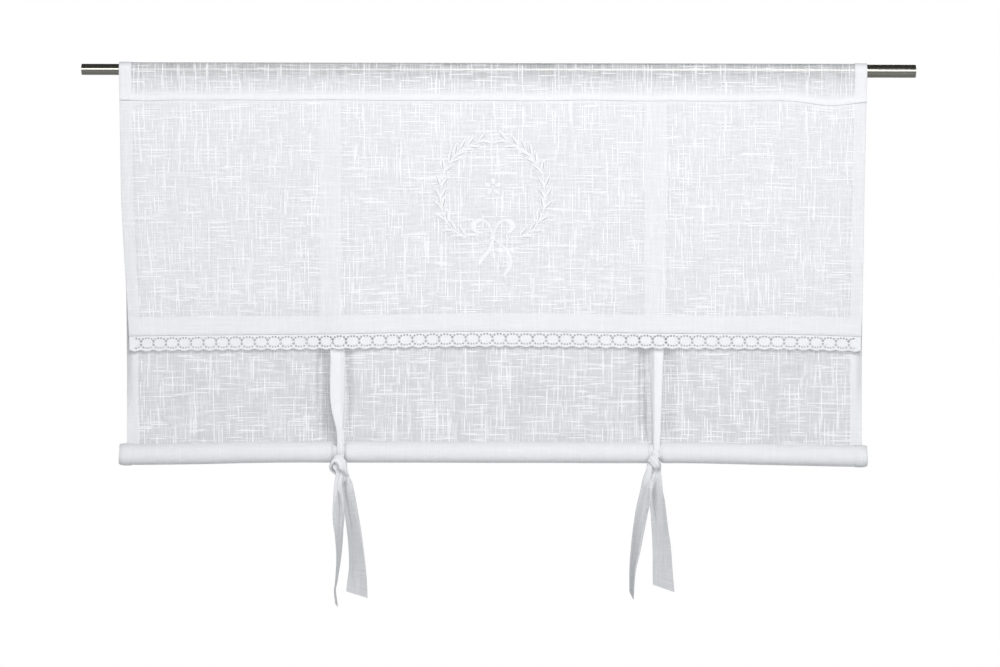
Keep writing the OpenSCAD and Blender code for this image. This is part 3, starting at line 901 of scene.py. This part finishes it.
# %% Paths and threads
WREATH_Z = -0.168
BOW_Z = -0.241
MM = 0.001
LEAF_PAIRS, LEAF_LENGTH, LEAF_WIDTH = 12, 0.0205, 0.0050
LEAF_TURNS = (-29.0, 27.0)
LEAF_STEPS = 10
BRANCH = [(-39, -72), (-60, -59), (-73, -33), (-75, -11), (-71, 18), (-60, 37), (-49, 50), (-32, 60), (-6, 71)]
SMALL_LOOP = [(-23, 6), (-24, 0), (-20, -5.5), (-12, -6.5), (-5, -4), (-1, -1.2)]


def on_valance(x, z, lift):
    return Vector((x, valance_front(x, z) - lift, z))


def curve_between(a, b, c, d, t):
    """A place from b to c, at t from 0 to 1, on a smooth curve through all four."""
    return 0.5 * (2 * b + (c - a) * t + (2 * a - 5 * b + 4 * c - d) * t * t + (3 * b - a - 3 * c + d) * t ** 3)


def smooth_path(points, steps):
    """A path through the points, rounded between them."""
    ends = [Vector(p) for p in (points[0], *points, points[-1])]
    made = []
    for number in range(len(points) - 1):
        made += [curve_between(*ends[number:number + 4], step / steps) for step in range(steps)]
    return made + [ends[-1]]


def thread_mesh(paths, thread):
    """Round threads along paths of points, as one mesh."""
    line = bpy.data.curves.new("thread_lines", "CURVE")
    line.dimensions = "3D"
    line.bevel_depth = thread
    line.bevel_resolution = 1
    line.use_fill_caps = True
    for points in paths:
        spline = line.splines.new("POLY")
        spline.points.add(len(points) - 1)
        for spot, point in zip(spline.points, points):
            spot.co = (*point, 1.0)
    holder = bpy.data.objects.new("thread_lines", line)
    bpy.context.collection.objects.link(holder)
    mesh = bpy.data.meshes.new_from_object(holder.evaluated_get(bpy.context.evaluated_depsgraph_get()))
    bpy.data.objects.remove(holder)
    return mesh


print("a branch has", len(BRANCH), "points")


# %% Leaves
def wreath_parts():
    """The two stems, and the base, heading and length of every leaf."""
    stems, leaves = [], []
    for side in (-1, 1):
        stem = smooth_path([(-side * x * MM, WREATH_Z + z * MM) for x, z in BRANCH], 12)
        stems.append(stem)
        for pair in range(LEAF_PAIRS):
            number = round(pair * (len(stem) - 8) / (LEAF_PAIRS - 1))
            way = stem[number + 2] - stem[max(number - 2, 0)]
            for turn in LEAF_TURNS:
                length = LEAF_LENGTH * (1.0 - 0.12 * noise.noise(Vector((pair * 3.1, turn, side))))
                leaves.append((stem[number], math.atan2(way.y, way.x) + math.radians(turn), length))
    return stems, leaves


def on_leaf(leaf, along, across, lift):
    """A place on a leaf: along it from 0 to 1 and across it from -1 to 1."""
    base, heading, length = leaf
    way = Vector((math.cos(heading), math.sin(heading)))
    half = 0.5 * LEAF_WIDTH * abs(math.sin(math.pi * along)) ** 0.8
    spot = base + way * (along * length) + Vector((-way.y, way.x)) * (across * half)
    return on_valance(spot.x, spot.y, lift)


stems, leaves = wreath_parts()
print(len(stems), "stems and", len(leaves), "leaves")

# %% Stem stitch
lines = [[on_valance(p.x, p.y, 0.0006) for p in stem] for stem in stems]
for leaf in leaves:
    for side in (-1, 1):
        lines.append([on_leaf(leaf, step / LEAF_STEPS, side, 0.0008) for step in range(LEAF_STEPS + 1)])
for flip in (1, -1):
    loop = smooth_path([(flip * x * MM, BOW_Z + z * MM) for x, z in SMALL_LOOP], 6)
    lines.append([on_valance(p.x, p.y, 0.0010) for p in loop])
wreath_shape = bmesh.new()
wreath_shape.from_mesh(thread_mesh(lines, 0.0007))
PRESSED = 0.4  # Thread that is sewn down lies flat on the cloth
for vert in wreath_shape.verts:
    cloth_y = valance_front(vert.co.x, vert.co.z)
    vert.co.y = cloth_y + PRESSED * (vert.co.y - cloth_y)
for face in wreath_shape.faces:
    face.material_index = 1
for leaf in leaves:
    made = bmesh.ops.create_grid(wreath_shape, x_segments=2, y_segments=8, size=1.0)["verts"]
    # Painted shade: the lower half of each leaf gets the grey thread
    upper = 1.0 if math.cos(leaf[1]) > 0.0 else -1.0
    halves = {face: upper * face.calc_center_median().x for vert in made for face in vert.link_faces}
    for vert in made:
        lift = 0.0002 + 0.0003 * (1.0 - abs(vert.co.x))
        vert.co = on_leaf(leaf, 0.5 + 0.44 * vert.co.y, 0.9 * vert.co.x, lift)
    for face, half in halves.items():
        face.material_index = 0 if half > 0.0 else 2
print(len(leaves), "leaves,", len(wreath_shape.faces), "faces")


# %% Satin bow and flower
def satin_band(shape, base_z, points, widths, crown):
    """A crowned band of satin stitch along points about (0, base_z), with a width at each, in millimetres."""
    path = smooth_path([(x * MM, z * MM, w * MM) for (x, z), w in zip(points, widths)], 6)
    rows = len(path) - 1
    made = bmesh.ops.create_grid(shape, x_segments=6, y_segments=rows, size=1.0)["verts"]
    for vert in made:
        across = vert.co.x
        number = round((1.0 - vert.co.y) / 2.0 * rows)
        before, after = path[max(number - 1, 0)], path[min(number + 1, rows)]
        way = Vector((after.x - before.x, after.y - before.y)).normalized()
        x = path[number].x - way.y * across * path[number].z / 2.0
        z = base_z + path[number].y + way.x * across * path[number].z / 2.0
        vert.co = on_valance(x, z, 0.00015 + crown * (1.0 - across * across))


big_loop = [(-0.5, 2), (-3.6, 12.5), (-9, 21.5), (-18, 25), (-26, 21.5), (-28, 14.5), (-23, 8),
            (-14, 5.8), (-1, 1)]
left_tail = [(-0.8, -3), (-4.6, -17), (-11.5, -26), (-17, -33), (-19.5, -41)]
right_tail = [(1.5, -2), (11, -10), (20.5, -19.5), (25.3, -31), (24, -42), (17.5, -53.5), (20.6, -63)]
bow_parts = [(right_tail, (2.0, 3.0, 4.4, 5.6, 6.2, 4.4, 1.6)), (left_tail, (2.6, 5.6, 6.8, 6.2, 3.0))]
for flip in (1, -1):
    loop_widths = (2.4, 3.0, 3.6, 4.6, 7.4, 7.6, 4.0, 1.8, 1.5)
    bow_parts.append(([(flip * x, z) for x, z in big_loop], loop_widths))
bow_parts.append(([(-3.4, -0.5), (0, 0), (3.4, 0.5)], (3.0, 6.4, 3.0)))
for points, widths in bow_parts:
    satin_band(wreath_shape, BOW_Z, points, widths, 0.0007)
PETALS = 5
for petal in range(PETALS):
    turn = math.radians(90.0 + petal * 360.0 / PETALS)
    spots = [(reach * math.cos(turn), reach * math.sin(turn)) for reach in (3.0, 6.5, 10.5, 13.0)]
    satin_band(wreath_shape, WREATH_Z, spots, (1.4, 4.6, 5.4, 1.2), 0.0006)
satin_band(wreath_shape, WREATH_Z, [(-2.3, 0), (0, 0), (2.3, 0)], (1.2, 4.4, 1.2), 0.0009)
for face in wreath_shape.faces:
    face.smooth = True
wreath = mesh_object("wreath_stitching", wreath_shape, stitch_thread)
for thread in (outline_thread, painted_shade_thread):
    wreath.data.materials.append(thread)
print("embroidery", len(wreath.data.polygons), "faces")

# %% [markdown]
# ## Tie bands
# Each tie band is a flat strip of the same cloth, 31 mm wide. It hangs flat behind the valance, folds
# its edges to the back as it narrows towards the roll, and is bunched where the pair is knotted under
# the roll. Below the knot the strip opens again and twists as it hangs. The strip keeps its width:
# where it looks narrower, the rest of it is folded behind. So a section of the band is a flat front
# whose two edges turn back on themselves, with different radii, so that one edge lies over the other.

# %% A band's section
BAND_W = 0.031
EDGE_TURN = {-1: 0.0010, 1: 0.0019}


def band_section(s, width, arched, curled):
    """For a flat distance s from the band's middle: (distance across, distance to the back).

    The edge on the side that curled names, -1 or 1, curls further back than the other."""
    side = -1 if s < 0 else 1
    radius = EDGE_TURN[side]
    front = max(width / 2.0 - radius, 0.0)
    reach = abs(s)
    if reach <= front:
        across, depth = reach, 0.0
    elif reach <= front + math.pi * radius:
        turn = (reach - front) / radius
        across, depth = front + radius * math.sin(turn), radius * (1.0 - math.cos(turn))
    else:
        across, depth = front - (reach - front - math.pi * radius), 2.0 * radius
    flat = smooth(0.90 * BAND_W, BAND_W, width)
    crown = arched * (1.0 + 0.7 * curled * side) * (across / max(width / 2.0, 0.001)) ** 2
    return side * (across + (reach * width / BAND_W - across) * flat), depth * (1.0 - flat) + crown


folded_edge = band_section(BAND_W / 2.0, 0.011, 0.0009, 0)
print("folded to 11 mm, the edge lies", [round(1000 * v, 2) for v in folded_edge], "mm from the middle")


# %% Bands along a route
ROW_GAP = 3.2
BAND_COLUMNS = 40
KNOT_STACKED = 0.82


def tie_band(name, route, slant, seed, knot_at, curled, folds):
    """A band along a route, and its length.

    A station of the route is (x, y, z, width, across x, across y, across z[, arch]), in millimetres but
    for the way across. knot_at is the length from the knot to the end. folds are lengthwise folds below
    the knot: (s at the knot, s at the end, depth, spread, reach) in millimetres."""
    stations = [(*s, 0.9)[:8] for s in route]
    rows = []
    for number in range(len(stations) - 1):
        gap = Vector(stations[number + 1][:3]) - Vector(stations[number][:3])
        steps = max(3, math.ceil(gap.length / ROW_GAP))
        picks = [stations[min(max(number + k, 0), len(stations) - 1)] for k in (-1, 0, 1, 2)]
        for step in range(steps):
            rows.append([curve_between(*four, step / steps) for four in zip(*picks)])
    rows.append(list(stations[-1]))
    middles = [Vector(r[:3]) * MM for r in rows]
    lengths = [0.0]
    for first, second in zip(middles, middles[1:]):
        lengths.append(lengths[-1] + (second - first).length)
    frames = []
    for number, row in enumerate(rows):
        way = (middles[min(number + 1, len(rows) - 1)] - middles[max(number - 1, 0)]).normalized()
        across = Vector(row[4:7])
        across = (across - way * across.dot(way)).normalized()
        frames.append((middles[number], across, way.cross(across), row[3] * MM, row[7] * MM, way))
    columns = [BAND_W * (step / BAND_COLUMNS - 0.5) for step in range(BAND_COLUMNS + 1)]
    total = lengths[-1]

    def pressed_in(s, below):
        """How far the folds press the band back, at a length below the knot."""
        pressed = 0.0
        for at_knot, at_end, depth, spread, reach in folds:
            share = below / (reach * MM)
            middle_s = at_knot + (at_end - at_knot) * share
            fade = smooth(0.0, 0.15, share) * (1.0 - smooth(0.4, 1.0, share))
            pressed += depth * MM * fade * math.exp(-((1000.0 * s - middle_s) / spread) ** 2)
        return pressed

    def place(s, row):
        length, number = row
        middle, across, front, width, arched, way = frames[number]
        aside, behind = band_section(s, width, arched, curled)
        below = length - total + knot_at
        bunched = math.exp(-(below / 0.05) ** 2)
        pleats = 0.0011 * bunched * math.cos(2.0 * math.pi * (s / 0.0095 + 0.29 * seed) + 25.0 * length)
        crease = 0.0005 * noise.noise(Vector((s * 160.0, length * 14.0, seed))) + pleats + pressed_in(s, below)
        slanted = slant * MM * (s / BAND_W) * smooth(total - 0.05, total, length)
        return middle + across * aside - front * (behind + crease) + way * slanted

    def stacking(s, row):
        length = row[0]
        below = length - total + knot_at
        # On the side that curls the strap is taken as one layer, more see-through; the grey this gives that
        # side is also painted shade
        one_layer = (0.45 - 0.2 * curled) * smooth(0.002, 0.005, s * curled) * smooth(0.33, 0.37, length)
        # Painted shade: in the valleys of the folds the band is made more see-through, so they look darker
        painted_shade = min(0.65, 90.0 * max(0.0, pressed_in(s, below)))
        return (KNOT_STACKED - one_layer) * (1.0 - smooth(-0.01, 0.05, below)) - painted_shade

    numbered = list(zip(lengths, range(len(rows))))
    return sheet_piece(name, columns, numbered, place, band_cloth, stacking), total


print("a band has", BAND_COLUMNS, "columns")


# %% Directions and places
def turned(angle):
    """A direction across the band, turned round the plumb line by an angle in degrees."""
    return (math.cos(math.radians(angle)), math.sin(math.radians(angle)), 0.0)


def round_roll(x, angle, radius):
    """A point round the roll: 0 is its front, 90 its top, 180 its back and 270 below."""
    a = math.radians(angle)
    return (x, 1000 * ROLL_Y - radius * math.cos(a), 1000 * ROLL_Z + radius * math.sin(a))


print("the roll's top is at", [round(v, 1) for v in round_roll(0.0, 90.0, 1000 * ROLL_OUTER)], "mm")


# %% Routes
LEVEL = (1.0, 0.0, 0.0)
KNOT_Y, KNOT_Z = -33.98, -567.03


def hanging_station(x, z, width, side):
    """A place on a band that lies close to the long cloth, in front of it (-1) or behind it (1)."""
    away = 0.9 if side < 0 else 1.1
    return (x, 1000 * ripple(x * MM, z * MM) + side * away, z, width, *LEVEL)


def in_knot(knot_x, rise, stations):
    """Stations given from the middle of a knot."""
    return [(knot_x + x, KNOT_Y + y, KNOT_Z + rise + z, *rest) for x, y, z, *rest in stations]


def front_route(seam_x, strap, knot_x, rise, grip, through, tail):
    """strap: (x, height, width, arch) from the valance's edge to the roll. grip: (aside, width) round
    the roll. through: stations of the knot."""
    route = [hanging_station(seam_x, -38.6, 31, -1), hanging_station(seam_x, -110, 31, -1),
             hanging_station(seam_x, -200, 31, -1), hanging_station(seam_x, -290, 30.5, -1)]
    for x, z, width, arched in strap:
        lean = smooth(-0.42, -0.535, z * MM)
        route.append((x, -4.2 - lean * 21.0 + 1000 * ripple(x * MM, z * MM), z, width, *LEVEL, arched))
    for angle, (aside, width) in zip((40, 20, 0, -22), grip):
        route.append((*round_roll(knot_x + aside, angle, 14.6), width, *LEVEL))
    return route + in_knot(knot_x, rise, through) + tail


def rear_route(seam_x, knot_x, rise, wraps, tail):
    """wraps: stations of the knot."""
    route = [hanging_station(seam_x, -38.6, 31, 1), hanging_station(seam_x, -150, 31, 1),
             hanging_station(seam_x, -290, 30, 1)]
    for z, width in ((-380, 26), (-430, 22), (-490, 17)):
        x = seam_x + (knot_x - seam_x) * smooth(-0.29, -0.49, z * MM)
        route.append((x, 11.5 - 2.5 * smooth(-0.43, -0.50, z * MM), z, width, *LEVEL))
    for angle, width in ((172, 13), (190, 12.5), (215, 12.5), (245, 12), (265, 11.5)):
        route.append((*round_roll(knot_x, angle, 15.3), width, *LEVEL))
    return route + in_knot(knot_x, rise, wraps) + tail


print("knots at", KNOT_Y, KNOT_Z, "mm")


# %% Straps, knots and tails
left_strap = [(-228, -345, 27, 1.5), (-223, -400, 21.8, 2.2), (-222.8, -455, 21.8, 2.8),
              (-222.2, -480, 19.6, 2.6), (-220.4, -500, 14.8, 1.8), (-218.4, -517, 9.6, 1.0)]
right_strap = [(235.5, -345, 27, 1.5), (236.2, -400, 21.5, 4.2), (236.2, -450, 17.5, 3.6),
               (236, -500, 12.5, 1.8)]
left_grip = ((0, 9.6), (0, 9.4), (0, 9.4), (0, 9.6))
right_grip = ((3.5, 10.0), (2.8, 8.8), (1.8, 9.6), (0.6, 13.0))
left_through = [(-3.5, -2, 5, 14, *LEVEL, 1.0), (-4, -3, -3, 13, *LEVEL, 1.0), (-1, -0.5, -12, 11, *LEVEL)]
right_through = [(-0.5, -5.0, 9.0, 15.0, *LEVEL, 1.5), (-2.5, -4.0, 2.0, 12.0, 0.95, 0.0, -0.3, 1.0),
                 (-6.0, -4.0, -5.5, 9.5, 0.88, 0.0, -0.47, 1.0),
                 (-7.2, -3.0, -14.0, 11.0, 0.95, 0.1, -0.25, 1.0)]
left_wraps = [(-3, 10, -8, 12, 0.7, 0.0, 0.7, 1.0), (-10.5, 5, -4, 12, 0.4, 0.4, 0.85, 0.8),
              (-11.5, -3, 2.5, 12, 0.3, 0.5, 0.85, 0.6), (-6.5, -8, 9.5, 11, 0.6, 0.2, 0.75, 1.0),
              (-0.5, -9.5, 8.5, 13, 0.85, 0.0, 0.5, 2.6), (4, -10, 2.5, 15, 0.95, 0.0, 0.3, 4.2),
              (6, -9, -5.5, 14, 0.97, 0.0, 0.2, 4.4), (7.5, -4, -12, 12, 0.97, 0.2, 0.1, 2.4),
              (9.5, 2, -16, 11, 0.9, 0.4, 0.0, 1.5)]
right_wraps = [(-2, 11, -6, 12, 0.9, 0.2, 0.3, 1.0), (-7.5, 6, -2.5, 12, 0.6, 0.5, 0.6, 1.2),
               (-9, -1, 4, 11, 0.55, 0.45, 0.7, 1.5), (-5.5, -7.5, 7, 12, 0.6, 0.15, 0.8, 2.0),
               (-1, -10, 2.5, 13, 0.62, 0.0, 0.78, 2.2), (4.5, -9, -3.5, 13, 0.66, 0.1, 0.74, 2.2),
               (7.5, -3, -8.5, 12, 0.75, 0.35, 0.55, 1.5), (5.5, 2.5, -13, 11.5, 0.95, 0.3, 0.0, 1.2)]
left_front_tail = [(-219.5, -34.5, -599, 13, *turned(20)), (-216.8, -35.5, -631, 24, *turned(42), 2.0),
                   (-217.3, -36, -665, 30, *turned(66), 1.0), (-218.1, -36, -699, 31, *turned(78), 0.5),
                   (-221.6, -36, -733, 31, *turned(85), 0.3), (-223.5, -36, -747, 31, *turned(87), 0.3),
                   (-221.1, -36, -768, 31, *turned(87), 0.3)]
left_rear_tail = [(-209, -27, -603, 22, *turned(-38), 3.0), (-203.5, -27, -639, 26, *turned(-42), 2.2),
                  (-199, -28, -664, 28, *turned(-42), 1.5), (-196, -28, -684, 29, *turned(-40), 1.0),
                  (-193, -29, -716, 30, *turned(-32), 1.0), (-193, -29, -753, 31, *turned(-6), 0.6)]
right_front_tail = [(218.6, -34.5, -599, 18, *turned(-34), 1.5), (215.6, -35.5, -618, 21, *turned(-30), 1.5),
                    (210.6, -36.5, -639, 23, *turned(-42), 1.5), (206.4, -37, -662, 25, *turned(-54), 1.2),
                    (203.2, -38, -686, 27, *turned(-64), 0.8), (199.7, -38, -716, 29, *turned(-75), 0.4),
                    (198.6, -38, -752, 30, *turned(-80), 0.3)]
right_rear_tail = [(236.8, -28.5, -599, 20, *turned(28), 2.0), (237.8, -28.5, -618, 26, *turned(30), 1.5),
                   (239.7, -29, -639, 28, *turned(33), 1.2), (241.5, -29, -662, 29, *turned(31), 1.0),
                   (243.2, -29, -686, 30, *turned(25), 0.8), (244.3, -29, -716, 31, *turned(20), 0.6),
                   (245.7, -29, -743, 31, *turned(8), 0.6)]
print("tails of", len(left_rear_tail), "to", len(left_front_tail), "stations")

# %% The four bands
left_front = front_route(-234, left_strap, -217, 0, left_grip, left_through, left_front_tail)
left_rear = rear_route(-234, -219, 0, left_wraps, left_rear_tail)
right_front = front_route(234, right_strap, 231.5, 5, right_grip, right_through, right_front_tail)
right_rear = rear_route(234, 231.5, 5, right_wraps, right_rear_tail)
bands = {
    "left_front_tie": tie_band("tie_left_front", left_front, slant=8, seed=1.0, knot_at=0.20, curled=1,
                               folds=[(2.0, 1.0, 6.0, 2.2, 110)]),
    "left_rear_tie": tie_band("tie_left_rear", left_rear, slant=9, seed=2.0, knot_at=0.19, curled=0,
                              folds=[(-5.0, -4.0, 9.0, 3.2, 105), (5.0, 9.0, -3.0, 4.0, 90)]),
    "right_front_tie": tie_band("tie_right_front", right_front, slant=10, seed=3.0, knot_at=0.19, curled=-1,
                                folds=[(6.0, 9.0, 6.0, 2.5, 90)]),
    "right_rear_tie": tie_band("tie_right_rear", right_rear, slant=13, seed=4.0, knot_at=0.18, curled=0,
                               folds=[(-3.0, -4.5, 9.0, 3.0, 95)])}
for node, (band, length) in bands.items():
    print(node, "is", round(length, 3), "m long,", len(band.data.polygons), "faces")

# %% [markdown]
# ## Stitches
# Lines of machine stitching close the rod's pocket and hold the hems and the lace. A stitch is a small
# rounded grain of thread that lies on the cloth, so a stretched icosphere is set at every 3 mm.

# %% Stitches
STITCH_STEP = 0.0032
STITCH_R = 0.00028


def sew(shape, points):
    """Stitches along a line of points that lie on the cloth."""
    for first, second in zip(points, points[1:]):
        way = second - first
        turn = Vector((1.0, 0.0, 0.0)).rotation_difference(way).to_matrix().to_4x4()
        size = Matrix.Diagonal((0.36 * way.length, STITCH_R, STITCH_R, 1.0))
        bmesh.ops.create_icosphere(shape, subdivisions=1, radius=1.0,
                                   matrix=Matrix.Translation((first + second) / 2.0) @ turn @ size)


def steps_between(start, end):
    count = max(2, round(abs(end - start) / STITCH_STEP))
    return [start + (end - start) * step / count for step in range(count + 1)]


OUT = Vector((0.0, -0.0003, 0.0))
stitch_shape = bmesh.new()
across_cloth = steps_between(-HALF_WIDTH + 0.003, HALF_WIDTH - 0.003)
lip_row = (0.0, "hang", LIP_Y, SEAM_END_Z + 0.003, 0, 0)
sew(stitch_shape, [panel_place(x, lip_row) + OUT for x in across_cloth])
for height in (VALANCE_END + 0.0028, VALANCE_END + VALANCE_HEM - 0.002):
    sew(stitch_shape, [valance_place(x, (0.0, height, 0.0)) + OUT for x in across_cloth])
for side in (-1, 1):
    hem_x = side * (HEM_START + 0.002)
    valance_steps = steps_between(-0.048, VALANCE_END + 0.004)
    panel_steps = steps_between(-0.048, -0.53)
    sew(stitch_shape, [valance_place(hem_x, (0.0, z, 0.0)) + OUT for z in valance_steps])
    sew(stitch_shape, [panel_place(hem_x, (0.0, "hang", 0.0, z, 0, 0)) + OUT for z in panel_steps])
stitches = mesh_object("seam_stitches", stitch_shape, stitch_thread)
for face in stitches.data.polygons:
    face.use_smooth = True
print("stitches", len(stitches.data.polygons), "faces")

# %% [markdown]
# ## The bar
# A plain wooden bar stiffens the core of the roll. Only its two ends can be seen, from the sides, so
# the CAD solid stays and gets a grain that is stretched along the bar and shows as dots on its ends.

# %% Bar wood
wood, tree, shader = new_finish("bar_wood", Roughness=0.6)
wood_place = add_node(tree, "TexCoord").outputs["Object"]
wood_grain = add_node(tree, "Mapping", {"Vector": wood_place, "Scale": (12.0, 420.0, 420.0)}).outputs[0]
grain = add_noise(tree, wood_grain, 1.0, 4.0)
connect(tree, shader, Base_Color=add_ramp(tree, grain, (0.52, 0.36, 0.20), (0.74, 0.57, 0.36)),
        Normal=add_bump(tree, grain, 0.3, 0.0003))
give_finish(wood, "bottom_bar")
print("wood on the bar")

# %% [markdown]
# ## What each piece stands for
# Every cloth piece takes the place of its plain CAD solid and rides with the blind, while the thinner
# tube slides on its own.

# %% Ride and replace
for piece, node, slot in ((panel, "back_panel", "sheer_cloth"), (valance, "front_valance", "sheer_cloth"),
                          (lace, "lace_trim", "lace"), (wreath, "wreath_embroidery", "thread"),
                          *[(band, node, "tie_cloth") for node, (band, length) in bands.items()]):
    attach(piece, "blind")
    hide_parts(node)
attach(stitches, "blind")
print("declared", 2 + len(bands), "sheets")
